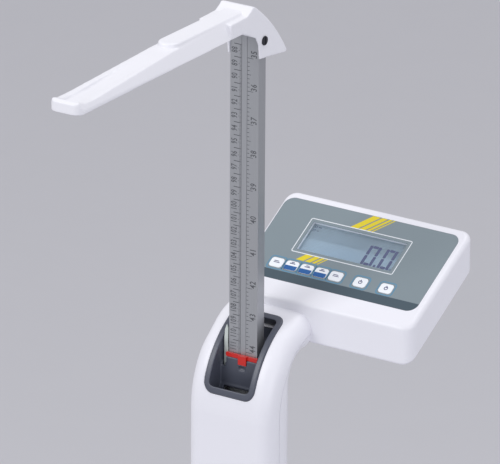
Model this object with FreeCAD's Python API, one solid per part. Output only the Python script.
import FreeCAD, Part
import math
import os

# Digital column scale with a sliding height rod.  Millimetres, +Z up, +X to the right of a person
# who stands on the platform and faces the display.  The origin is on the floor, under the middle
# of the whole scale.  "Upper" sizes are taken from the datum point: the middle of the rod's front
# face at the level of the reading pointer.

Vector = FreeCAD.Vector

# ---------------------------------------------------------------- driving dimensions
# platform and base
platform_width = 365.0
platform_depth = 360.0
platform_corner = 38.0
platform_wall = 3.0
platform_edge_round = 8.0
cover_bottom = 22.0
platform_top = 80.0
mat_thickness = 3.0
mat_border = 10.0
column_gap = 50.0            # rod face to the back edge of the platform
frame_bottom = 42.0
frame_height = 20.0
frame_rail = 28.0
frame_sheet = 3.0
frame_inset = 18.0
tongue_half_width = 40.0
tongue_reach = 38.0          # behind the rod face
cell_size = 14.0
cell_length = 62.0
cell_relief = 1.0
foot_inset = 34.0
foot_stem_radius = 5.0
foot_pad_radius = 20.0
foot_pad_height = 8.0
foot_travel = 6.0
wheel_radius = 25.0
wheel_width = 18.0
wheel_axle_radius = 4.0
wheel_behind_face = 22.0
wheel_centre_height = 33.0
wheel_gap = 5.0
rear_cover_half_width = 48.0
rear_cover_top = 88.0
rear_cover_wall = 2.5
rear_cover_reach = 46.0
level_radius = 8.0

# column
datum_height = 948.4
column_half_width = 37.0
column_front = -21.5
column_back = 15.0
column_front_round = 12.0
column_back_round = 16.0
column_wall = 2.5
shoulder_radius = 72.0
shoulder_start = -45.0
neck_start = -22.0
neck_radius = 17.2
seam_depth = 14.5
seam_width = 0.4
seam_cut = 0.8
socket_plate = 3.0
lug_half_width = 22.0
lug_depth = 27.5
lug_thickness = 6.0

# guide bezel, pointer and rod guide
bezel_beside_rod = 9.7
bezel_length = 69.0
bezel_round = 8.0
bezel_rim = 4.5
bezel_proud = 1.2
bezel_floor_radius = 57.0
bezel_floor = 2.5
pointer_edge = -3.0
pointer_height = 3.0
pointer_block = 7.0
guide_top = -40.0
guide_height = 22.0

# height rod and head
rod_width = 24.6
rod_depth = 9.0
rod_wall = 1.6
rod_top = 250.0
rod_bottom = 73.0            # above the floor
plug_height = 22.0
plug_half_width = 18.5
pivot_back = 4.5
pivot_height = 242.0
pivot_radius = 2.5
cheek_clearance = 0.3
cheek_wall = 1.4
arm_reach = 227.0
arm_underside = 252.0
arm_tip_top = 261.0
arm_mid_top = 265.5
arm_tip_half_width = 13.6
arm_ridge_half_width = 9.0
arm_foot_rise = 1.2           # upright part of the side, before it leans in
trough_half_width = 6.4
arm_skin = 2.0
hood_peak_forward = 9.5
hood_peak = 271.0
hood_middle = (13.5, 253.3)  # back and height of a point half way down the hood
hood_curve_points = 14
fin_tip_back = 34.7
fin_tip_height = 225.8

# display housing
housing_left = -38.0
housing_right = 122.6
housing_front = 34.5
housing_back = 122.9
ridge_height = 32.0
front_wall_height = 30.5
housing_tilt = 30.2
housing_wall = 2.2
housing_corner = 9.0
housing_top_round = 4.0
base_plate = 2.5
base_inset = 1.0
panel_left = -35.3
panel_right = 116.6
panel_front = 16.1
panel_length = 76.4
panel_round = 8.0
foil_thickness = 0.6
window_left = -2.7
window_right = 79.0
window_front = 47.4
window_length = 27.4
key_width = 11.0
key_depth = 8.8
key_travel = 0.5
key_row = 31.0
key_places = [-10.8, 2.2, 15.1, 28.0, 41.0, 62.4, 84.6]
board_thickness = 1.6
battery_radius = 7.1
battery_length = 50.5

# small pieces inside
cell_tail = 10.0
corner_plate = 3.0
corner_plate_size = 62.0
socket_bolt_places = (-26.0, 0.0)
socket_bolt_y = -10.0
cable_x = 26.0
cable_y = -8.0
cable_radius = 2.5
level_y = -36.0
clip_thickness = 1.2
bezel_low_angle = 12.0
lug_screw_places = (-12.0, 12.0)
lug_screw_step = 14.0
cable_exit_z = 12.3
plate_front = -3.4
plate_back = -0.8
spring_thickness = 0.8
pointer_left = -2.0
socket_screw_places = (-10.0, 10.0)
socket_screw_up = 11.0
hood_start = 38.0
pad_back = -6.5
boss_places = [(-29.0, 12.0), (113.0, 12.0), (-29.0, 78.0), (113.0, 78.0)]
board_top = -9.0
board_gap = 0.4
battery_x0 = -6.0
tray_wall = 1.0
inlet_x = -18.0
inlet_radius = 4.5
tray_behind = 4.05          # from the tray to the back wall, at the base plate

# clearances
fit_gap = 0.1                # screws and pieces that are pushed together by hand
slide_gap = 0.25             # rod in its guide
pin_gap = 0.05               # pins and axles that turn
panel_gap = 0.2

# ---------------------------------------------------------------- derived places
tilt = math.radians(housing_tilt)
platform_reach = column_gap + platform_depth
rod_face = (platform_reach - housing_back) / 2.0
platform_back_y = rod_face - column_gap
platform_front_y = platform_back_y - platform_depth
platform_mid_y = (platform_front_y + platform_back_y) / 2.0
cover_top = platform_top - mat_thickness
frame_top = frame_bottom + frame_height
column_bottom = frame_top + socket_plate - datum_height
shoulder_centre = Vector(0, column_front + shoulder_radius, shoulder_start)
rod_half = rod_width / 2.0
bezel_width = rod_width + 2 * bezel_beside_rod
cheek_inner = rod_half + cheek_clearance
cheek_outer = cheek_inner + cheek_wall
window_back = window_front + window_length
panel_back = panel_front + panel_length
housing_thickness = front_wall_height * math.cos(tilt)
base_top = -housing_thickness + base_plate
shell_under = -housing_wall
foot_x = platform_width / 2.0 - foot_inset
cell_top = frame_bottom
cell_bottom = cell_top - cell_size
wheel_outer = rear_cover_half_width + wheel_gap + wheel_width + 1.5
clip_start = wheel_outer + 0.5
bezel_bottom = guide_top + 0.2
cable_hole_radius = cable_radius + 1.6
pointer_block_low = pointer_edge - pointer_block
battery_pitch = 2 * battery_radius + 0.3
cell_axis = base_top + battery_radius + 0.3
tray_x1 = battery_x0 + 2 * battery_length + 5.0
back_wall_inside = ((housing_back - housing_front - housing_wall) / math.cos(tilt)
                    + base_top * math.tan(tilt))
tray_back = back_wall_inside - tray_behind
battery_front = tray_back - 0.5 - 3 * battery_pitch
post_row = battery_front - 3.8
board_posts = [(-24.0, 21.0), (106.0, 21.0), (-24.0, post_row), (106.0, post_row)]


# ---------------------------------------------------------------- shape helpers
def box(x0, x1, y0, y1, z0, z1):
    return Part.makeBox(x1 - x0, y1 - y0, z1 - z0, Vector(x0, y0, z0))


def rod_along(start, direction, radius, length):
    return Part.makeCylinder(radius, length, start, direction)


def polygon_prism(points, travel):
    wire = Part.makePolygon(list(points) + [points[0]])
    return Part.Face(wire).extrude(travel)


def side_prism(outline, half_width):
    points = [Vector(-half_width, y, z) for y, z in outline]
    return polygon_prism(points, Vector(2 * half_width, 0, 0))


def upright_edges(shape):
    found = []
    for edge in shape.Edges:
        ends = edge.Vertexes
        if len(ends) != 2:
            continue
        a, b = ends[0].Point, ends[1].Point
        if abs(a.x - b.x) < 1e-6 and abs(a.y - b.y) < 1e-6 and abs(a.z - b.z) > 1e-6:
            found.append(edge)
    return found


def rounded_box(x0, x1, y0, y1, z0, z1, radius):
    block = box(x0, x1, y0, y1, z0, z1)
    return block.makeFillet(radius, upright_edges(block))


def top_edges(shape, height):
    return [e for e in shape.Edges if all(abs(v.Point.z - height) < 1e-6 for v in e.Vertexes)]


def from_datum(shape):
    moved = shape.copy()
    moved.translate(Vector(0, rod_face, datum_height))
    return moved


def joined(shapes):
    total = shapes[0]
    for shape in shapes[1:]:
        total = total.fuse(shape)
    return total.removeSplitter()


nodes = {}


def keep(name, shape):
    nodes[name] = shape


# ---------------------------------------------------------------- base
foot_places = {
    "front_left": (-1, platform_front_y + foot_inset, 1),
    "front_right": (1, platform_front_y + foot_inset, 1),
    "rear_left": (-1, platform_back_y - foot_inset, -1),
    "rear_right": (1, platform_back_y - foot_inset, -1),
}


def cell_span(foot_y, inward):
    near = foot_y - inward * cell_tail
    far = near + inward * cell_length
    return min(near, far), max(near, far)


def cell_screw_places(foot_y, inward):
    return [foot_y + inward * (cell_length - cell_tail - step) for step in (8.0, 22.0)]


def make_base_frame():
    x1 = platform_width / 2.0 - frame_inset
    y0 = platform_front_y + frame_inset
    y1 = platform_back_y - frame_inset
    mid = (y0 + y1) / 2.0
    half = frame_rail / 2.0
    tongue_end = rod_face + tongue_reach
    inner_x = x1 - frame_rail
    bars = [
        (-x1, x1, y0, y0 + frame_rail),
        (-x1, x1, y1 - frame_rail, y1),
        (-x1, -inner_x, y0, y1),
        (inner_x, x1, y0, y1),
        (-x1, x1, mid - half, mid + half),
        (-tongue_half_width, tongue_half_width, y1 - frame_rail, tongue_end),
    ]
    solid = joined([box(a, b, c, d, frame_bottom, frame_top) for a, b, c, d in bars])
    t = frame_sheet
    hollows = [box(a + t, b - t, c + t, d - t, frame_bottom, frame_top - t) for a, b, c, d in bars]
    solid = solid.cut(joined(hollows))
    parts = [solid]
    for side, foot_y, inward in foot_places.values():
        edge_x = side * x1
        inner = side * (x1 - corner_plate_size)
        y_edge = y0 if inward > 0 else y1
        y_far = y_edge + inward * corner_plate_size
        parts.append(box(min(edge_x, inner), max(edge_x, inner), min(y_edge, y_far),
                         max(y_edge, y_far), frame_bottom, frame_bottom + corner_plate))
    axle_y = rod_face + wheel_behind_face
    ear = 4.0
    for side in (-1, 1):
        outer = side * tongue_half_width
        inner = side * (tongue_half_width - ear)
        low = wheel_centre_height - wheel_axle_radius - ear
        parts.append(box(min(outer, inner), max(outer, inner), axle_y - 10, axle_y + 10, low,
                         frame_bottom + corner_plate))
    frame = joined(parts)
    for side, foot_y, inward in foot_places.values():
        hole = foot_stem_radius + 1.0
        frame = frame.cut(rod_along(Vector(side * foot_x, foot_y, frame_bottom - 1), Vector(0, 0, 1),
                                    hole, corner_plate + 2))
        for y in cell_screw_places(foot_y, inward):
            frame = frame.cut(rod_along(Vector(side * foot_x, y, frame_bottom - 1),
                                        Vector(0, 0, 1), 2.5 + fit_gap, corner_plate + 2))
    frame = frame.cut(rod_along(Vector(-60, axle_y, wheel_centre_height), Vector(1, 0, 0),
                                wheel_axle_radius + pin_gap, 120))
    for x in socket_bolt_places:
        frame = frame.cut(rod_along(Vector(x, rod_face + socket_bolt_y, frame_top - 5),
                                    Vector(0, 0, 1), 3.0 + fit_gap, 6))
    frame = frame.cut(rod_along(Vector(cable_x, rod_face + cable_y, frame_top - 5),
                                Vector(0, 0, 1), cable_radius + 1.0, 6))
    return frame


def make_platform_cover():
    x1 = platform_width / 2.0
    outer = rounded_box(-x1, x1, platform_front_y, platform_back_y, cover_bottom, cover_top,
                        platform_corner)
    outer = outer.makeFillet(platform_edge_round, top_edges(outer, cover_top))
    w = platform_wall
    inner = rounded_box(-x1 + w, x1 - w, platform_front_y + w, platform_back_y - w,
                        cover_bottom - 1, cover_top - w, platform_corner - w)
    inner = inner.makeFillet(platform_edge_round - w, top_edges(inner, cover_top - w))
    cover = outer.cut(inner)
    ribs = []
    rib = 3.0
    for x in (-120.0, -60.0, 0.0, 60.0, 120.0):
        ribs.append(box(x - rib / 2, x + rib / 2, platform_front_y + w / 2, platform_back_y - w / 2,
                        frame_top, cover_top - w / 2))
    for y in (-110.0, -40.0, 40.0, 110.0):
        ribs.append(box(-x1 + w / 2, x1 - w / 2, platform_mid_y + y - rib / 2,
                        platform_mid_y + y + rib / 2, frame_top, cover_top - w / 2))
    cover = joined([cover] + ribs)
    doorway = box(-tongue_half_width - 1, tongue_half_width + 1, platform_back_y - 20,
                  platform_back_y + 1, cover_bottom - 1, frame_top + 1)
    return cover.cut(doorway)


def make_mat():
    x1 = platform_width / 2.0 - mat_border
    return rounded_box(-x1, x1, platform_front_y + mat_border, platform_back_y - mat_border,
                       cover_top, platform_top, platform_corner - mat_border)


def make_rear_cover():
    h = rear_cover_half_width
    back = rod_face + rear_cover_reach
    outer = box(-h, h, platform_back_y, back, cover_bottom + 2, rear_cover_top)
    corners = [e for e in upright_edges(outer) if e.Vertexes[0].Point.y > platform_back_y + 1]
    outer = outer.makeFillet(12.0, corners)
    rims = [e for e in top_edges(outer, rear_cover_top)
            if max(v.Point.y for v in e.Vertexes) > platform_back_y + 1]
    outer = outer.makeFillet(4.0, rims)
    w = rear_cover_wall
    inner = box(-h + w, h - w, platform_back_y - 1, back - w, cover_bottom, rear_cover_top - w)
    cover = outer.cut(inner)
    ribs = []
    for side in (-1, 1):
        a, b = side * 25.0, side * 28.0
        ribs.append(box(min(a, b), max(a, b), rod_face + column_back + 3, back - w / 2,
                        frame_top, rear_cover_top - w / 2))
    cover = joined([cover] + ribs)
    hole = column_body(-panel_gap, column_bottom - 10, True)
    cover = cover.cut(from_datum(hole))
    axle_y = rod_face + wheel_behind_face
    cover = cover.cut(rod_along(Vector(-60, axle_y, wheel_centre_height), Vector(1, 0, 0),
                                wheel_axle_radius + 0.5, 120))
    level = rod_along(Vector(0, rod_face + level_y, rear_cover_top - 5), Vector(0, 0, 1),
                      level_radius + fit_gap, 10)
    return cover.cut(level)


def make_bubble_level():
    centre = Vector(0, rod_face + level_y, rear_cover_top - 6)
    body = rod_along(centre, Vector(0, 0, 1), level_radius, 6)
    flange = rod_along(Vector(0, rod_face + level_y, rear_cover_top), Vector(0, 0, 1),
                       level_radius + 2, 1.2)
    cup = rod_along(Vector(0, rod_face + level_y, rear_cover_top - 3), Vector(0, 0, 1),
                    level_radius - 1.5, 5)
    return joined([body, flange]).cut(cup)


def make_level_lens():
    low = rear_cover_top - 3
    lens = rod_along(Vector(0, rod_face + level_y, low), Vector(0, 0, 1), level_radius - 1.5, 4.6)
    rim = [e for e in lens.Edges if abs(e.BoundBox.ZMin - low - 4.6) < 1e-6]
    return lens.makeFillet(1.0, rim)


def make_load_cell(side, foot_y, inward):
    y0, y1 = cell_span(foot_y, inward)
    half = cell_size / 2.0
    x = side * foot_x
    cell = box(x - half, x + half, y0, y1, cell_bottom, cell_top)
    free_end = foot_y + inward * 22.0
    relief = box(x - half, x + half, min(foot_y - inward * (cell_tail + 1), free_end),
                 max(foot_y - inward * (cell_tail + 1), free_end), cell_top - cell_relief, cell_top)
    cell = cell.cut(relief)
    waist = foot_y + inward * 17.0
    for offset in (-4.0, 4.0):
        cell = cell.cut(rod_along(Vector(x - half - 1, waist + offset, cell_bottom + half),
                                  Vector(1, 0, 0), 4.5, cell_size + 2))
    cell = cell.cut(rod_along(Vector(x, foot_y, cell_bottom - 1), Vector(0, 0, 1),
                              foot_stem_radius + pin_gap, cell_size + 2))
    for y in cell_screw_places(foot_y, inward):
        cell = cell.cut(rod_along(Vector(x, y, cell_bottom - 1), Vector(0, 0, 1),
                                  2.5 + fit_gap, cell_size + 2))
    return cell


def make_cell_screws():
    screws = []
    for side, foot_y, inward in foot_places.values():
        for y in cell_screw_places(foot_y, inward):
            place = Vector(side * foot_x, y, cell_bottom)
            head = rod_along(place + Vector(0, 0, -3.5), Vector(0, 0, 1), 4.2, 3.5)
            socket = rod_along(place + Vector(0, 0, -3.6), Vector(0, 0, 1), 2.0, 2.1)
            shank = rod_along(place, Vector(0, 0, 1), 2.5, cell_size + corner_plate)
            screws.append(joined([head, shank]).cut(socket))
    return Part.makeCompound(screws)


def make_foot_stem(side, foot_y):
    x = side * foot_x
    base = Vector(x, foot_y, foot_pad_height)
    flange = rod_along(base, Vector(0, 0, 1), 11.0, 4.0)
    stem_top = cell_top - cell_relief - foot_travel - 1.0
    stem = rod_along(base, Vector(0, 0, 1), foot_stem_radius, stem_top - foot_pad_height)
    nut = Part.makePolygon([base + Vector(8 * math.cos(a), 8 * math.sin(a), 4)
                            for a in [math.radians(60 * k) for k in range(7)]])
    return joined([flange, stem, Part.Face(nut).extrude(Vector(0, 0, 5))])


def make_foot_pad(side, foot_y):
    pad = rod_along(Vector(side * foot_x, foot_y, 0), Vector(0, 0, 1), foot_pad_radius,
                    foot_pad_height)
    rim = [e for e in pad.Edges if abs(e.BoundBox.ZMin - foot_pad_height) < 1e-6]
    return pad.makeFillet(3.0, rim)


def make_wheel(side):
    axle_y = rod_face + wheel_behind_face
    near = rear_cover_half_width + wheel_gap
    start = near if side > 0 else -near - wheel_width
    origin = Vector(start, axle_y, wheel_centre_height)
    tyre = rod_along(origin, Vector(1, 0, 0), wheel_radius, wheel_width)
    rims = [e for e in tyre.Edges if e.Length > 2 * wheel_radius and e.Curve.TypeId.endswith("Circle")]
    tyre = tyre.makeFillet(4.0, rims)
    dish = rod_along(Vector(start - 1, axle_y, wheel_centre_height), Vector(1, 0, 0),
                     wheel_radius * 0.68, 5.0)
    far_dish = rod_along(Vector(start + wheel_width - 4, axle_y, wheel_centre_height),
                         Vector(1, 0, 0), wheel_radius * 0.68, 5.0)
    hub = rod_along(Vector(start - 1.5, axle_y, wheel_centre_height), Vector(1, 0, 0), 8.0,
                    wheel_width + 3.0)
    wheel = tyre.cut(dish).cut(far_dish)
    wheel = joined([wheel, hub])
    return wheel.cut(rod_along(Vector(start - 5, axle_y, wheel_centre_height), Vector(1, 0, 0),
                               wheel_axle_radius + pin_gap, wheel_width + 10))


def make_axle():
    half = clip_start + clip_thickness + 1.3
    axle = rod_along(Vector(-half, rod_face + wheel_behind_face, wheel_centre_height),
                     Vector(1, 0, 0), wheel_axle_radius, 2 * half)
    for side in (-1, 1):
        start = clip_start if side > 0 else -clip_start - clip_thickness
        origin = Vector(start, rod_face + wheel_behind_face, wheel_centre_height)
        ring = rod_along(origin, Vector(1, 0, 0), wheel_axle_radius + 1, clip_thickness)
        groove = ring.cut(rod_along(origin, Vector(1, 0, 0), wheel_axle_radius - 0.8,
                                    clip_thickness))
        axle = axle.cut(groove)
    return axle


def make_axle_clips():
    clips = []
    for side in (-1, 1):
        start = clip_start if side > 0 else -clip_start - clip_thickness
        origin = Vector(start, rod_face + wheel_behind_face, wheel_centre_height)
        ring = rod_along(origin, Vector(1, 0, 0), wheel_axle_radius + 3, clip_thickness)
        ring = ring.cut(rod_along(origin, Vector(1, 0, 0), wheel_axle_radius - 0.8,
                                  clip_thickness))
        mouth = box(start, start + clip_thickness, origin.y - 2.4, origin.y + 2.4,
                    origin.z - wheel_axle_radius - 4, origin.z)
        clips.append(ring.cut(mouth))
    return Part.makeCompound(clips)


def make_junction_board():
    y = platform_back_y - frame_inset - frame_rail - 30.0
    return box(-30, 30, y - 20, y + 20, frame_top - board_thickness, frame_top)


# ---------------------------------------------------------------- column
def arc_point(radius, degrees):
    angle = math.radians(degrees)
    return Vector(0, shoulder_centre.y - radius * math.cos(angle),
                  shoulder_centre.z + radius * math.sin(angle))


def arc_angle_at(radius, y):
    return math.degrees(math.acos((shoulder_centre.y - y) / radius))


def column_body(inset, low, straight=False):
    # the column's outer form, or one lying inset inside it; straight leaves out the shoulder
    half = column_half_width - inset
    front = column_front + inset
    back = column_back - inset
    if straight:
        block = box(-half, half, front, back, low, shoulder_start - 50)
        ups = upright_edges(block)
        fronts = [e for e in ups if e.Vertexes[0].Point.y < front + 1]
        block = block.makeFillet(column_front_round - inset, fronts)
        return rounded_backs(block, back, column_back_round - inset)
    radius = shoulder_radius - inset
    neck = neck_radius + inset
    end = housing_front - (inset if inset > 0 else 0)
    neck_centre = Vector(0, column_back + neck_radius, neck_start)
    rise = math.sqrt(neck ** 2 - (end - neck_centre.y) ** 2)
    lower_end = Vector(0, end, neck_centre.z + rise)
    half_way = math.radians(135)
    neck_mid = neck_centre + Vector(0, neck * math.cos(half_way), neck * math.sin(half_way))
    top_angle = arc_angle_at(radius, end)
    top_end = arc_point(radius, top_angle)
    outline = [
        Part.LineSegment(Vector(0, front, low), Vector(0, front, shoulder_start)),
        Part.Arc(Vector(0, front, shoulder_start), arc_point(radius, top_angle / 2), top_end),
        Part.LineSegment(top_end, lower_end),
        Part.Arc(lower_end, neck_mid, Vector(0, back, neck_start)),
        Part.LineSegment(Vector(0, back, neck_start), Vector(0, back, low)),
        Part.LineSegment(Vector(0, back, low), Vector(0, front, low)),
    ]
    wire = Part.Wire([piece.toShape() for piece in outline])
    wire.translate(Vector(-half, 0, 0))
    block = Part.Face(wire).extrude(Vector(2 * half, 0, 0))
    block = block.makeFillet(column_back_round - inset, side_edges(block, end, radius, False))
    return block.makeFillet(column_front_round - inset, side_edges(block, end, radius, True))


def side_edges(block, end, radius, wants_front):
    # long edges of the column's sides: the front pair, or else the back pair
    found = []
    for edge in block.Edges:
        bounds = edge.BoundBox
        if bounds.XLength > 1e-6 or bounds.ZLength < 5 or abs(bounds.YMin - end) < 1e-6:
            continue
        middle = edge.valueAt((edge.FirstParameter + edge.LastParameter) / 2)
        arc_distance = math.hypot(middle.y - shoulder_centre.y, middle.z - shoulder_centre.z)
        straight_front = shoulder_centre.y - radius
        is_front = middle.y < straight_front + 0.5 or abs(arc_distance - radius) < 0.01
        if is_front == wants_front:
            found.append(edge)
    return found


def rounded_backs(block, back, radius):
    backs = [e for e in upright_edges(block) if e.Vertexes[0].Point.y > back - 1]
    return block.makeFillet(radius, backs)


def front_zone(radius):
    # everything in front of the seam between front cover and rear profile
    seam_y = shoulder_centre.y - radius
    far = 200.0
    below = box(-far, far, -far, seam_y, column_bottom - 20, shoulder_start)
    ring_outer = rod_along(Vector(-far, shoulder_centre.y, shoulder_centre.z), Vector(1, 0, 0),
                           far, 2 * far)
    ring_inner = rod_along(Vector(-far, shoulder_centre.y, shoulder_centre.z), Vector(1, 0, 0),
                           radius, 2 * far)
    above = box(-far, far, -far, far, shoulder_start, far)
    ring = ring_outer.cut(ring_inner).common(above)
    return below.fuse(ring)


def bezel_frame():
    # middle of the bezel's chord, and the direction that looks straight into it
    half_turn = math.degrees(math.asin(bezel_length / 2.0 / shoulder_radius))
    return bezel_low_angle + half_turn


def bezel_prism(grow, low, high):
    # a rounded block, long along the shoulder's chord, standing out of the shoulder
    half_w = bezel_width / 2.0 + grow
    half_l = bezel_length / 2.0 + grow
    block = rounded_box(-half_w, half_w, -half_l, half_l, low, high, bezel_round + grow)
    mid_angle = bezel_frame()
    block.rotate(Vector(0, 0, 0), Vector(1, 0, 0), 90.0 - mid_angle)
    block.translate(arc_point(0.0, 0.0))
    return block


def shoulder_ring(outer, inner):
    start = Vector(-60, shoulder_centre.y, shoulder_centre.z)
    ring = rod_along(start, Vector(1, 0, 0), outer, 120)
    return ring.cut(rod_along(start, Vector(1, 0, 0), inner, 120))


def rod_passage(gap, low, high):
    return box(-rod_half - gap, rod_half + gap, -gap, rod_depth + gap, low, high)


def make_column():
    outer = column_body(0.0, column_bottom)
    inner = column_body(column_wall, column_bottom - 1)
    shell = outer.cut(inner)
    seam = shoulder_radius - seam_depth
    zone = front_zone(seam)
    front = shell.common(zone)
    rear = shell.cut(zone)
    skin = outer.cut(column_body(seam_cut, column_bottom - 1))
    groove = skin.common(front_zone(seam).cut(front_zone(seam + seam_width)))
    front = front.cut(groove)
    front = front.cut(bezel_prism(panel_gap, 30, 120))
    slope = math.tan(tilt)
    base_line = ridge_height - front_wall_height
    drop = lug_thickness / math.cos(tilt)
    end_y = housing_front + lug_depth
    lug = side_prism([
        (housing_front, base_line - drop), (end_y, base_line - drop + lug_depth * slope),
        (end_y, base_line + lug_depth * slope), (housing_front, base_line)], lug_half_width)
    tie = box(-lug_half_width, lug_half_width, housing_front - column_wall, housing_front,
              base_line - drop, base_line)
    rear = joined([rear, lug, tie.common(outer)])
    passage = rod_along(Vector(cable_x, housing_front - 10, cable_exit_z), Vector(0, 1, 0),
                        cable_hole_radius, 20)
    rear = rear.cut(passage)
    front = front.cut(passage)
    for x in lug_screw_places:
        rear = rear.cut(lug_screw(x, fit_gap))
    return front, rear


def lug_screw(x, gap):
    # shank of a housing mounting screw, in datum coordinates
    low = -housing_thickness - lug_thickness - 3.0
    shank = rod_along(Vector(x, lug_screw_step, low), Vector(0, 0, 1), 2.5 + gap,
                      3.0 + lug_thickness + base_plate + 6.0)
    shank.rotate(Vector(0, 0, 0), Vector(1, 0, 0), housing_tilt)
    shank.translate(Vector(0, housing_front, ridge_height))
    return shank


def make_bezel():
    body = bezel_prism(0.0, 30, 120)
    ring = shoulder_ring(shoulder_radius + bezel_proud, bezel_floor_radius - bezel_floor)
    body = body.common(ring)
    body = body.common(box(-60, 60, -100, housing_front - column_wall - 0.4, bezel_bottom, 100))
    pocket = bezel_prism(-bezel_rim, 30, 120).common(shoulder_ring(120, bezel_floor_radius))
    tray = body.cut(pocket)
    tray = tray.cut(rod_passage(0.6, -60, 60))
    well = box(-rod_half - 1.5, rod_half + 1.5, rod_depth - 1, rod_depth + 9, -40, 60)
    tray = tray.cut(well.common(shoulder_ring(bezel_floor_radius + 0.01, 20)))
    slot = box(-14.5, 14.5, -bezel_length / 2 + bezel_rim + 2.5, -bezel_length / 2 + bezel_rim + 7,
               30, shoulder_radius - 8)
    slot.rotate(Vector(0, 0, 0), Vector(1, 0, 0), 90.0 - bezel_frame())
    slot.translate(arc_point(0.0, 0.0))
    tray = tray.cut(slot)
    # the plate in front of the rod, under the pointer, with room for the pointer and the brake
    side = bezel_width / 2.0 - bezel_rim + 0.5
    rod_side = -rod_half - 0.4
    plate = box(rod_side, side, plate_front, plate_back, -30, pointer_edge - pointer_height)
    ledge = box(-side, rod_side, plate_front, plate_back, -30, pointer_block_low - 1.0)
    plate = joined([plate, ledge]).common(shoulder_ring(120, bezel_floor_radius - 1))
    block_room = box(pointer_left, pointer_left + pointer_block, plate_front - 1, 0,
                     pointer_block_low, pointer_edge)
    notch = box(pointer_left + 0.5, pointer_left + pointer_block - 1, plate_front - 1,
                plate_front + 1.2, pointer_block_low - 4.5, pointer_block_low - 1.5)
    brake_hole = box(-rod_half - 4.2, -rod_half - 1.4, plate_front - 1, 0, -14.0, -10)
    plate = plate.cut(block_room).cut(notch).cut(brake_hole)
    spring_slot = box(-rod_half - 3.9, -rod_half - 0.5, -0.6, 4.6, -30, -10)
    return joined([tray, plate]).cut(spring_slot)


def make_pointer():
    low = pointer_edge - pointer_height
    bar = box(-rod_half - 1.2, rod_half + 1.7, -2.4, -0.5, low, pointer_edge)
    block = box(pointer_left, pointer_left + pointer_block, plate_front - 0.5, -0.5,
                pointer_block_low, pointer_edge)
    return joined([bar, block])


def make_brake_spring():
    # a stamped strip whose bowed edge rubs on the side of the rod
    outline = [(-3.9, -26.0), (-3.9, 7.0), (-3.3, 14.0), (-1.8, 18.0), (-0.7, 15.0), (-0.9, 4.0),
               (-0.4, -7.0), (-0.9, -13.0), (-3.2, -17.0), (-3.2, -26.0)]
    points = [Vector(x - rod_half, -0.4, z) for x, z in outline]
    return polygon_prism(points, Vector(0, spring_thickness, 0))


def make_rod_guide():
    low = guide_top - guide_height
    inner_half = column_half_width - column_wall
    body = box(-plug_half_width, plug_half_width, -9, column_back - column_wall, low, guide_top)
    wings = box(-inner_half, inner_half, -9, -4, low, guide_top)
    guide = joined([body, wings]).cut(rod_passage(slide_gap, low - 1, guide_top + 1))
    guide = guide.cut(rod_along(Vector(cable_x, cable_y, low - 1), Vector(0, 0, 1),
                                cable_radius + 1.0, guide_height + 2))
    return guide


def make_socket():
    low = frame_top - datum_height
    top = low + socket_plate
    plate = box(-column_half_width + 1, column_half_width - 1, column_front + 1, column_back - 1,
                low, top)
    inner_front = column_front + column_wall
    ear = box(-20, 20, inner_front, inner_front + 3, top, top + 20)
    inner_back = column_back - column_wall
    ridge = box(-16, 16, inner_back - 2, inner_back, top, top + 3)
    socket = joined([plate, ear, ridge])
    for x in socket_bolt_places:
        socket = socket.cut(rod_along(Vector(x, socket_bolt_y, low - 1), Vector(0, 0, 1),
                                      3.0 + fit_gap, socket_plate + 2))
    for x in socket_screw_places:
        socket = socket.cut(rod_along(Vector(x, column_front - 4, top + socket_screw_up),
                                      Vector(0, 1, 0), 2.0 + fit_gap, 14))
    return socket.cut(rod_along(Vector(cable_x, cable_y, low - 1), Vector(0, 0, 1),
                                cable_radius + 1.0, socket_plate + 2))


def socket_screw_holes(shape):
    top = column_bottom
    for x in socket_screw_places:
        shape = shape.cut(rod_along(Vector(x, column_front - 4, top + socket_screw_up),
                                    Vector(0, 1, 0), 2.0 + fit_gap, 14))
    return shape


def make_socket_screws():
    screws = []
    top = column_bottom
    for x in socket_bolt_places:
        place = Vector(x, socket_bolt_y, top)
        head = rod_along(place, Vector(0, 0, 1), 5.0, 3.8)
        shank = rod_along(place + Vector(0, 0, -socket_plate - 4), Vector(0, 0, 1), 3.0,
                          socket_plate + 4)
        hexagon = rod_along(place + Vector(0, 0, 1.8), Vector(0, 0, 1), 2.4, 3)
        screws.append(joined([head, shank]).cut(hexagon))
    for x in socket_screw_places:
        place = Vector(x, column_front, top + socket_screw_up)
        head = rod_along(place + Vector(0, -2.4, 0), Vector(0, 1, 0), 3.8, 2.4)
        shank = rod_along(place, Vector(0, 1, 0), 2.0, column_wall + 4.5)
        drive = rod_along(place + Vector(0, -2.5, 0), Vector(0, 1, 0), 1.6, 1.4)
        screws.append(joined([head, shank]).cut(drive))
    return Part.makeCompound(screws)


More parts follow.
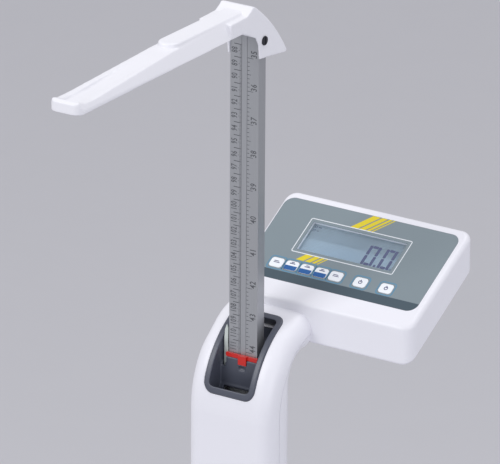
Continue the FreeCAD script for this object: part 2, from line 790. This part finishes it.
def make_cable():
    # from the junction box in the base, up the column and through the neck into the display
    low = frame_top - 6.0 - datum_height
    points = [Vector(cable_x, cable_y, low), Vector(cable_x, cable_y, guide_top + 20.0),
              Vector(cable_x, 20.0, 6.0), Vector(cable_x, housing_front + 17.5, 20.0)]
    path = []
    start = points[0]
    for before, corner, after in zip(points, points[1:], points[2:]):
        arriving = (corner - before).normalize()
        leaving = (after - corner).normalize()
        turn = arriving.getAngle(leaving)
        run = min((corner - before).Length, (after - corner).Length)
        set_back = 0.45 * run
        radius = set_back / math.tan(turn / 2)
        first = corner - arriving * set_back
        last = corner + leaving * set_back
        bisector = (leaving - arriving).normalize()
        centre = corner + bisector * (radius / math.cos(turn / 2))
        middle = centre - bisector * radius
        path.append(Part.LineSegment(start, first).toShape())
        path.append(Part.Arc(first, middle, last).toShape())
        print("cable bend radius", round(radius, 1))
        start = last
    path.append(Part.LineSegment(start, points[-1]).toShape())
    circle = Part.Circle(points[0], Vector(0, 0, 1), cable_radius)
    tube = Part.Wire(path).makePipeShell([Part.Wire(circle.toShape())], True, False)
    return tube


# ---------------------------------------------------------------- height rod and head
def make_rod():
    low = rod_bottom - datum_height
    rod = box(-rod_half, rod_half, 0, rod_depth, low, rod_top)
    corners = [e for e in rod.Edges if abs(e.BoundBox.ZLength) < 1e-6 and
               abs(e.BoundBox.ZMin - rod_top) < 1e-6 and e.BoundBox.XLength > 1]
    rod = rod.makeFillet(3.0, corners)
    hollow = box(-rod_half + rod_wall, rod_half - rod_wall, rod_wall, rod_depth - rod_wall, low,
                 rod_top - 3)
    rod = rod.cut(hollow)
    for x in (-2.6, 2.2):
        rod = rod.cut(box(x, x + 0.4, -1, 0.3, low - 1, rod_top - 3))
    return rod.cut(pivot_hole(pivot_radius + pin_gap, rod_half + 1))


def make_plug():
    low = rod_bottom - 2.0 - datum_height
    plug = box(-plug_half_width, plug_half_width, -9, column_back - column_wall - 0.3, low,
               low + plug_height)
    return plug.cut(rod_passage(0.0, low + 2.0, low + plug_height + 1))


def pivot_hole(radius, half):
    return rod_along(Vector(-half, pivot_back, pivot_height), Vector(1, 0, 0), radius, 2 * half)


def make_pivot_bush():
    g = fit_gap
    block = box(-rod_half + rod_wall + g, rod_half - rod_wall - g, rod_wall, rod_depth - rod_wall,
                pivot_height - 12, rod_top - 3)
    block = block.cut(pivot_hole(pivot_radius + pin_gap, rod_half))
    spring_well = box(-3, 3, rod_wall, rod_depth - rod_wall, pivot_height - 12,
                      pivot_height - 6)
    return block.cut(spring_well)


def make_detent_spring():
    half = 2.7
    top = pivot_height - 6.0
    ball = Part.makeSphere(2.2, Vector(0, rod_depth - rod_wall - 2.3, top - 3.0))
    pad = box(-half, half, rod_wall, rod_wall + 0.6, top - 5.5, top - 0.5)
    bar = rod_along(Vector(0, rod_wall + 0.3, top - 3.0), Vector(0, 1, 0), 1.0, 2.6)
    return joined([pad, bar, ball])


def make_pin():
    pin = pivot_hole(pivot_radius, cheek_outer)
    heads = []
    for side in (-1, 1):
        start = cheek_outer if side > 0 else -cheek_outer - 0.8
        heads.append(rod_along(Vector(start, pivot_back, pivot_height), Vector(1, 0, 0),
                               pivot_radius + 0.9, 0.8))
    pin = joined([pin] + heads)
    slot = box(-cheek_outer - 2, -cheek_outer - 0.3, pivot_back - 0.4, pivot_back + 0.4,
               pivot_height - 4, pivot_height + 4)
    far = box(cheek_outer + 0.3, cheek_outer + 2, pivot_back - 0.4, pivot_back + 0.4,
              pivot_height - 4, pivot_height + 4)
    return pin.cut(slot).cut(far)


def arm_plan(inset, front_round):
    # seen from above: tapered, with a rounded tip, straight behind the rod
    tip = -arm_reach + inset
    tip_half = arm_tip_half_width - inset
    root_half = cheek_outer - inset
    points = [(tip, tip_half), (0.0, root_half), (fin_tip_back + 5, root_half),
              (fin_tip_back + 5, -root_half), (0.0, -root_half), (tip, -tip_half)]
    outline = polygon_prism([Vector(x, y, 200) for y, x in points], Vector(0, 0, 100))
    tips = [e for e in upright_edges(outline) if e.Vertexes[0].Point.y < tip + 1]
    return outline.makeFillet(front_round, tips)


def arm_section(inset):
    # the arm seen from its tip: the sides lean in from the foot to the ridge
    foot = cheek_outer + 0.5 - inset
    ridge = arm_ridge_half_width - inset
    bend = arm_underside + arm_foot_rise
    right = [(foot, bend - 20), (foot, bend), (ridge, arm_mid_top), (ridge, arm_mid_top + 25)]
    left = [(-x, z) for x, z in reversed(right)]
    start = -arm_reach - 1
    points = [Vector(x, start, z) for x, z in right + left]
    return polygon_prism(points, Vector(0, arm_reach + 1 - hood_start, 0))


def arm_outline():
    # points (y, z) of the arm seen from the side; the back of the hood is one arc
    crest = (-hood_peak_forward + 1.5, hood_peak)
    fin = (fin_tip_back, fin_tip_height + 0.8)
    back = Part.Arc(Vector(0, *fin), Vector(0, *hood_middle), Vector(0, *crest))
    curve = [(point.y, point.z) for point in back.discretize(hood_curve_points)]
    return [
        (-arm_reach, arm_underside), (-23.5, arm_underside + 2.5), (-17.7, arm_underside),
        (-6.0, 246.5), (-2.6, 240.8), (-1.4, 232.0), (-1.2, 229.0), (7.0, 228.6),
        (fin_tip_back - 1.5, fin_tip_height - 0.5)] + curve + [
        (-hood_peak_forward - 0.8, hood_peak), (-hood_peak_forward - 2.5, hood_peak - 1.6),
        (-18.0, arm_mid_top + 0.6), (-60.0, arm_mid_top), (-104.0, arm_mid_top - 0.9),
        (-170.0, arm_mid_top - 4.6), (-arm_reach + 19.0, arm_tip_top - 2.2),
        (-arm_reach + 9.0, arm_tip_top - 1.8), (-arm_reach + 3.0, arm_tip_top),
        (-arm_reach, arm_tip_top - 1.5),
    ]


def make_arm():
    solid = side_prism(arm_outline(), cheek_outer + 1).common(arm_plan(0.0, 7.0))
    hood_zone = box(-30, 30, -hood_start - 0.5, 60, 200, 300)
    solid = solid.common(joined([arm_section(0.0), hood_zone]))
    # raised pad on the top, ahead of the hood
    pad = rounded_box(-8.5, 8.5, -104.0, pad_back, arm_mid_top - 3, arm_mid_top + 2.6, 8.0)
    pad = pad.makeFillet(1.6, top_edges(pad, arm_mid_top + 2.6))
    solid = joined([solid, pad])
    # channel under the arm
    channel = side_prism([
        (-arm_reach + 6, arm_underside - 5), (-30, arm_underside - 5),
        (-30, arm_mid_top - arm_skin - 1.5), (-arm_reach + 110, arm_mid_top - arm_skin - 3.5),
        (-arm_reach + 60, arm_underside + 3.0), (-arm_reach + 6, arm_underside + 2.0)], 30)
    channel = channel.common(arm_plan(2.2, 4.8)).common(arm_section(2.4))
    solid = solid.cut(channel)
    # shallow trough on the top, from the pad to the upright rim at the tip
    trough_floor = arm_underside + 5.5
    trough = side_prism([
        (-arm_reach + 4.0, 275), (-arm_reach + 4.0, trough_floor + 1.5),
        (-arm_reach + 9.0, trough_floor), (-arm_reach + 40.0, trough_floor + 0.6),
        (-114.0, arm_mid_top - 1.2), (-114.0, 275)], trough_half_width)
    trough = trough.common(arm_plan(2.6, 4.4))
    solid = solid.cut(trough)
    # room for the rod's head between the cheeks, and the hollow of the hood behind it
    head_room = side_prism([
        (-11.5, 220), (-11.5, 252.6), (-6.5, 253.6), (1.5, 259.6), (11.6, 250.2), (20.8, 240.8),
        (28.0, 231.8), (31.0, 226.0), (31.0, 220)], cheek_inner)
    solid = solid.cut(head_room)
    stop = box(-cheek_inner - 0.5, cheek_inner + 0.5, rod_depth + 0.3, rod_depth + 2.3, 229.2, 234.0)
    solid = joined([solid, stop])
    return solid.cut(pivot_hole(pivot_radius + pin_gap, 40))


# ---------------------------------------------------------------- display
def housing_body(inset, corner, top_round):
    rise = math.tan(tilt)
    shift = inset / math.cos(tilt)
    y0 = housing_front + inset
    y1 = housing_back - inset
    top = ridge_height - shift
    low = ridge_height - front_wall_height + shift
    outline = [(y0, low + inset * rise), (y0, top + inset * rise),
               (y1, top + (y1 - housing_front) * rise), (y1, low + (y1 - housing_front) * rise)]
    x0 = housing_left + inset
    points = [Vector(x0, y, z) for y, z in outline]
    block = polygon_prism(points, Vector(housing_right - housing_left - 2 * inset, 0, 0))
    block = block.makeFillet(corner, upright_edges(block))
    normal = Vector(0, -math.sin(tilt), math.cos(tilt))
    ridge = Vector(0, housing_front, top)
    rims = []
    for edge in block.Edges:
        if all(abs((v.Point - ridge).dot(normal)) < 1e-4 for v in edge.Vertexes):
            rims.append(edge)
    return block.makeFillet(top_round, rims)


def below_plane(height):
    # everything lower than a plane parallel to the sloping base
    slab = box(-200, 300, -200, 300, -200, height - housing_thickness)
    slab.rotate(Vector(0, 0, 0), Vector(1, 0, 0), housing_tilt)
    slab.translate(Vector(0, housing_front, ridge_height))
    return slab


def slanted(shape):
    placed = shape.copy()
    placed.rotate(Vector(0, 0, 0), Vector(1, 0, 0), housing_tilt)
    placed.translate(Vector(0, housing_front, ridge_height))
    return placed


def panel_block(x0, x1, s0, s1, n0, n1, radius=0.0):
    if radius > 0:
        return slanted(rounded_box(x0, x1, s0, s1, n0, n1, radius))
    return slanted(box(x0, x1, s0, s1, n0, n1))


def key_hole(x):
    half_w = key_width / 2 + panel_gap
    half_d = key_depth / 2 + panel_gap
    return panel_block(x - half_w, x + half_w, key_row - half_d, key_row + half_d, -6, 2,
                       2.4 + panel_gap)


def make_top_shell():
    shell = housing_body(0.0, housing_corner, housing_top_round)
    shell = shell.cut(housing_body(housing_wall, housing_corner - housing_wall,
                                   housing_top_round - housing_wall))
    additions = []
    for x, s in boss_places:
        additions.append(slanted(rod_along(Vector(x, s, base_top), Vector(0, 0, 1), 3.6,
                                           -base_top - housing_wall / 2)))
    for x, s in board_posts:
        additions.append(slanted(rod_along(Vector(x, s, board_top), Vector(0, 0, 1), 2.5,
                                           -board_top - housing_wall / 2)))
    shell = joined([shell] + additions)
    shell = shell.cut(below_plane(base_plate))
    g = fit_gap
    shell = shell.cut(panel_block(panel_left - g, panel_right + g, panel_front - g, panel_back + g,
                                  -foil_thickness, 3, panel_round + g))
    shell = shell.cut(panel_block(window_left - g, window_right + g, window_front - g,
                                  window_back + g, -6, 3))
    for x in key_places:
        shell = shell.cut(key_hole(x))
    for x, s in boss_places:
        shell = shell.cut(slanted(rod_along(Vector(x, s, base_top - 1), Vector(0, 0, 1), 1.5 + g,
                                            13)))
    passage = rod_along(Vector(cable_x, housing_front - 5, cable_exit_z), Vector(0, 1, 0),
                        cable_hole_radius, 12)
    shell = shell.cut(passage)
    inlet = rod_along(Vector(inlet_x, housing_back - 10, inlet_z()), Vector(0, 1, 0),
                      inlet_radius + g, 12)
    return shell.cut(inlet)


def inlet_z():
    rise = math.tan(tilt)
    middle = ridge_height - front_wall_height / 2
    return middle + (housing_back - housing_front) * rise


def make_base_shell():
    plate = housing_body(base_inset, housing_corner - base_inset, housing_top_round)
    plate = plate.common(below_plane(base_plate))
    rim_outer = housing_wall + panel_gap
    rim_inner = rim_outer + 1.4
    rim = housing_body(rim_outer, housing_corner - rim_outer, 1.5)
    hollow = housing_body(rim_inner, housing_corner - rim_inner, 0.5)
    deeper = hollow.copy()
    deeper.translate(Vector(0, 0, -5.0))
    rim = rim.cut(hollow).cut(deeper)
    rim = rim.common(below_plane(base_plate + 3.5))
    shell = joined([plate, rim.cut(below_plane(base_plate - 0.5))])
    for x in lug_screw_places:
        shell = joined([shell, slanted(rod_along(Vector(x, lug_screw_step, base_top - 0.5),
                                                 Vector(0, 0, 1), 4.5, 6.5))])
    for x in lug_screw_places:
        shell = shell.cut(lug_screw(x, fit_gap))
    g = fit_gap
    for x, s in boss_places:
        shell = shell.cut(slanted(rod_along(Vector(x, s, -housing_thickness - 1), Vector(0, 0, 1),
                                            1.5 + g, 8)))
        shell = shell.cut(slanted(rod_along(Vector(x, s, -housing_thickness - 1), Vector(0, 0, 1),
                                            3.0 + g, 2.2)))
        shell = shell.cut(slanted(rod_along(Vector(x, s, base_top), Vector(0, 0, 1), 4.0, 8)))
    door = panel_block(battery_x0 - tray_wall - 0.5, tray_x1 + tray_wall + 0.5,
                       battery_front - tray_wall - 0.5, tray_back + tray_wall + 0.5,
                       -housing_thickness - 2, base_top - 1.2, 3.0)
    window = panel_block(battery_x0, tray_x1, battery_front, tray_back, -housing_thickness - 2,
                         base_top + 1, 2.0)
    return shell.cut(door).cut(window)


def make_battery_cover():
    g = panel_gap
    cover = panel_block(battery_x0 - tray_wall - 0.5 + g, tray_x1 + tray_wall + 0.5 - g,
                        battery_front - tray_wall - 0.5 + g, tray_back + tray_wall + 0.5 - g,
                        -housing_thickness, base_top - 1.2 - g / 2, 3.0 - g)
    grip = panel_block(40.0, 60.0, battery_front + 4, battery_front + 7, -housing_thickness - 1,
                       -housing_thickness + 0.6, 1.4)
    return cover.cut(grip)


def make_battery_tray():
    outer = panel_block(battery_x0 - tray_wall, tray_x1 + tray_wall, battery_front - tray_wall,
                        tray_back + tray_wall, base_top, cell_axis + battery_radius + 0.6)
    inner = panel_block(battery_x0, tray_x1, battery_front, tray_back, base_top - 1,
                        cell_axis + battery_radius + 0.2)
    tray = outer.cut(inner)
    mid = battery_x0 + battery_length + 2.2
    rib = panel_block(mid, mid + 0.6, battery_front - 0.2, tray_back + 0.2, cell_axis + 2.0,
                      cell_axis + battery_radius + 0.4)
    return joined([tray, rib])


def make_battery_cells():
    cells = []
    for column in (0, 1):
        x = battery_x0 + 1.2 + column * (battery_length + 2.4)
        for row in (0, 1, 2):
            s = battery_front + 0.4 + battery_radius + row * battery_pitch
            body = rod_along(Vector(x, s, cell_axis), Vector(1, 0, 0), battery_radius,
                             battery_length - 1.4)
            tip = rod_along(Vector(x + battery_length - 1.4, s, cell_axis), Vector(1, 0, 0), 2.7, 1.4)
            cells.append(slanted(joined([body, tip])))
    return Part.makeCompound(cells)


def make_foil():
    foil = panel_block(panel_left, panel_right, panel_front, panel_back, -foil_thickness, 0.0,
                       panel_round)
    foil = foil.cut(panel_block(window_left - fit_gap, window_right + fit_gap,
                                window_front - fit_gap, window_back + fit_gap, -3, 3))
    for x in key_places:
        foil = foil.cut(key_hole(x))
    return foil


def make_window():
    pane = panel_block(window_left, window_right, window_front, window_back, shell_under - 1.0,
                       -0.1)
    flange = panel_block(window_left - 2.2, window_right + 2.2, window_front - 2.0,
                         window_back + 2.0, shell_under - 1.0, shell_under)
    return joined([pane, flange])


def make_lcd():
    return panel_block(window_left - 3.0, window_right + 3.0, window_front - 2.6,
                       window_back + 2.6, board_top + 0.4, shell_under - 1.0)


def make_board():
    back = battery_front - tray_wall - board_gap
    return panel_block(panel_left + 6, panel_right - 6, panel_front + 2.5, back,
                       board_top - board_thickness, board_top, 2.0)


def make_domes():
    first, last = key_places[0], key_places[-1]
    half_d = key_depth / 2 + 0.9
    half_w = key_width / 2 + 2.4
    top = shell_under - 0.8 - key_travel - 0.1
    sheet = panel_block(first - half_w, last + half_w, key_row - half_d, key_row + half_d,
                        board_top, board_top + 1.2, 2.0)
    domes = [sheet]
    for x in key_places:
        low = slanted(Part.makeCone(4.6, 2.6, top - board_top - 1.0,
                                    Vector(x, key_row, board_top + 1.0), Vector(0, 0, 1)))
        domes.append(low)
    return joined(domes)


def make_key(x):
    half_w = key_width / 2
    half_d = key_depth / 2
    cap = rounded_box(x - half_w, x + half_w, key_row - half_d, key_row + half_d, shell_under - 0.8,
                      0.5, 2.4)
    cap = cap.makeFillet(0.4, top_edges(cap, 0.5))
    skirt = box(x - half_w - 0.6, x + half_w + 0.6, key_row - half_d - 0.9, key_row + half_d + 0.9,
                shell_under - 0.8, shell_under - 0.1)
    return slanted(joined([cap, skirt]))


def make_inlet():
    origin = Vector(inlet_x, housing_back - 12, inlet_z())
    body = rod_along(origin, Vector(0, 1, 0), inlet_radius, 12)
    flange = rod_along(Vector(inlet_x, housing_back - housing_wall - 1.5, inlet_z()),
                       Vector(0, 1, 0), inlet_radius + 2, 1.5)
    bore = rod_along(Vector(inlet_x, housing_back - 9, inlet_z()), Vector(0, 1, 0), 2.75, 10)
    pin = rod_along(Vector(inlet_x, housing_back - 10, inlet_z()), Vector(0, 1, 0), 1.05, 9)
    return joined([joined([body, flange]).cut(bore), pin])


def make_housing_screws():
    screws = []
    for x, s in boss_places:
        low = -housing_thickness - 1 + 2.2
        head = rod_along(Vector(x, s, low - 1.1), Vector(0, 0, 1), 3.0, 1.1)
        shank = rod_along(Vector(x, s, low), Vector(0, 0, 1), 1.5, 10)
        drive = rod_along(Vector(x, s, low - 1.2), Vector(0, 0, 1), 1.2, 0.8)
        screws.append(slanted(joined([head, shank]).cut(drive)))
    return Part.makeCompound(screws)


def make_mount_screws():
    screws = []
    low = -housing_thickness - lug_thickness
    for x in lug_screw_places:
        head = rod_along(Vector(x, lug_screw_step, low - 2.8), Vector(0, 0, 1), 4.4, 2.8)
        shank = rod_along(Vector(x, lug_screw_step, low), Vector(0, 0, 1), 2.5,
                          lug_thickness + base_plate + 5.5)
        drive = rod_along(Vector(x, lug_screw_step, low - 2.9), Vector(0, 0, 1), 2.0, 1.8)
        screws.append(slanted(joined([head, shank]).cut(drive)))
    return Part.makeCompound(screws)


# ---------------------------------------------------------------- the whole scale
keep("base_frame", make_base_frame())
keep("platform_cover", make_platform_cover())
keep("platform_mat", make_mat())
keep("rear_foot_cover", make_rear_cover())
keep("bubble_level", make_bubble_level())
keep("bubble_level_lens", make_level_lens())
keep("load_cell_screws", make_cell_screws())
keep("junction_board", make_junction_board())
for place, (side, foot_y, inward) in foot_places.items():
    keep("load_cell_" + place, make_load_cell(side, foot_y, inward))
    keep("foot_stem_" + place, make_foot_stem(side, foot_y))
    keep("foot_pad_" + place, make_foot_pad(side, foot_y))
keep("wheel_left", make_wheel(-1))
keep("wheel_right", make_wheel(1))
keep("wheel_axle", make_axle())
keep("axle_clips", make_axle_clips())

front_cover, rear_profile = make_column()
keep("column_front_cover", from_datum(socket_screw_holes(front_cover)))
keep("column_rear_profile", from_datum(rear_profile))
keep("column_socket", from_datum(make_socket()))
keep("socket_screws", from_datum(make_socket_screws()))
keep("signal_cable", from_datum(make_cable()))
keep("guide_bezel", from_datum(make_bezel()))
keep("reading_pointer", from_datum(make_pointer()))
keep("brake_spring", from_datum(make_brake_spring()))
keep("rod_guide", from_datum(make_rod_guide()))
keep("height_rod", from_datum(make_rod()))
keep("rod_end_plug", from_datum(make_plug()))
keep("pivot_bush", from_datum(make_pivot_bush()))
keep("arm_detent_spring", from_datum(make_detent_spring()))
keep("pivot_pin", from_datum(make_pin()))
keep("measuring_arm", from_datum(make_arm()))

keep("display_top_shell", from_datum(make_top_shell()))
keep("display_base_shell", from_datum(make_base_shell()))
keep("membrane_foil", from_datum(make_foil()))
keep("display_window", from_datum(make_window()))
keep("lcd_module", from_datum(make_lcd()))
keep("main_board", from_datum(make_board()))
keep("key_dome_sheet", from_datum(make_domes()))
for number, x in enumerate(key_places, 1):
    keep("key_%d" % number, from_datum(make_key(x)))
keep("battery_tray", from_datum(make_battery_tray()))
keep("battery_cells", from_datum(make_battery_cells()))
keep("battery_cover", from_datum(make_battery_cover()))
keep("power_inlet", from_datum(make_inlet()))
keep("housing_screws", from_datum(make_housing_screws()))
keep("mount_screws", from_datum(make_mount_screws()))

os.makedirs("parts", exist_ok=True)
for name, shape in nodes.items():
    if not shape.isValid() or len(shape.Solids) == 0:
        print("CHECK", name, "valid", shape.isValid(), "solids", len(shape.Solids))
    shape.exportStep("parts/" + name + ".step")
print(len(nodes), "nodes")
